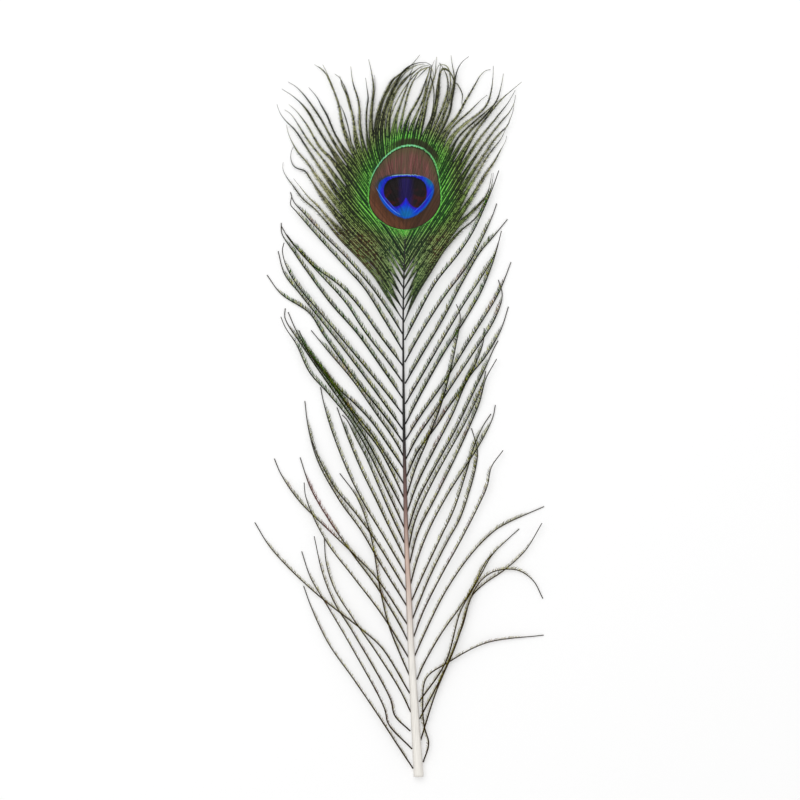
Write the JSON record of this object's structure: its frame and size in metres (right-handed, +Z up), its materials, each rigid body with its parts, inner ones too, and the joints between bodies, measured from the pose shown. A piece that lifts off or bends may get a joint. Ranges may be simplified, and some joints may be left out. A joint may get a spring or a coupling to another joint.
{
  "type": "peacock feather",
  "caption": "Peacock tail feather cut to its eye end, lying flat, with a tapering pale shaft, loose curved barbs down both sides and a closed round eye under a fringed fan.",
  "frame": {"origin": "on the resting plane, under the middle of the feather's outline", "axes": "+Y along the shaft from the cut end to the eye, +Z up from the display side, +X across the feather"},
  "size_m": [0.1219, 0.303, 0.004],
  "materials": {
    "barbs": "silky olive-green barbs with dark brown stems and a faint metallic sheen",
    "eye": "iridescent blue, bronze and green barbs closed into a smooth web",
    "shaft": "smooth horn, cream at the cut end and dark brown towards the eye"
  },
  "bodies": {
    "root": {"feather": "barbs"}
  },
  "joints": []
}
